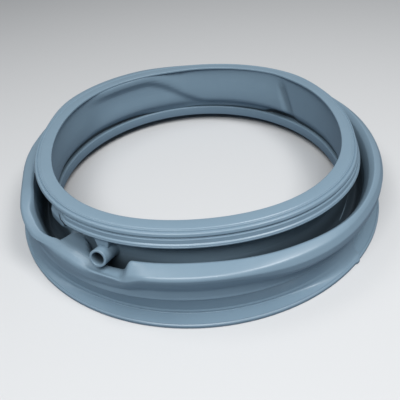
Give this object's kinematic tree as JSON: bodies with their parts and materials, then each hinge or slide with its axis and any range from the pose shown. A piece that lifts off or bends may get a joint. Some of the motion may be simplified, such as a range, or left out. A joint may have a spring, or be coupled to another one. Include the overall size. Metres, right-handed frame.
{
  "type": "washing machine door seal",
  "caption": "Round moulded rubber bellows seal with a flat flange, a deep fold, a stepped collar, an inner lip and a small hose spigot.",
  "frame": {"origin": "centre of the flange's underside, on the surface the seal lies on", "axes": "+Z along the seal's axis, from the flange to the collar; -Y is the way the hose spigot points, seen from above"},
  "size_m": [0.371, 0.371, 0.0763],
  "materials": {
    "rubber": "satin"
  },
  "bodies": {
    "root": {"door_seal": "rubber"}
  },
  "joints": []
}
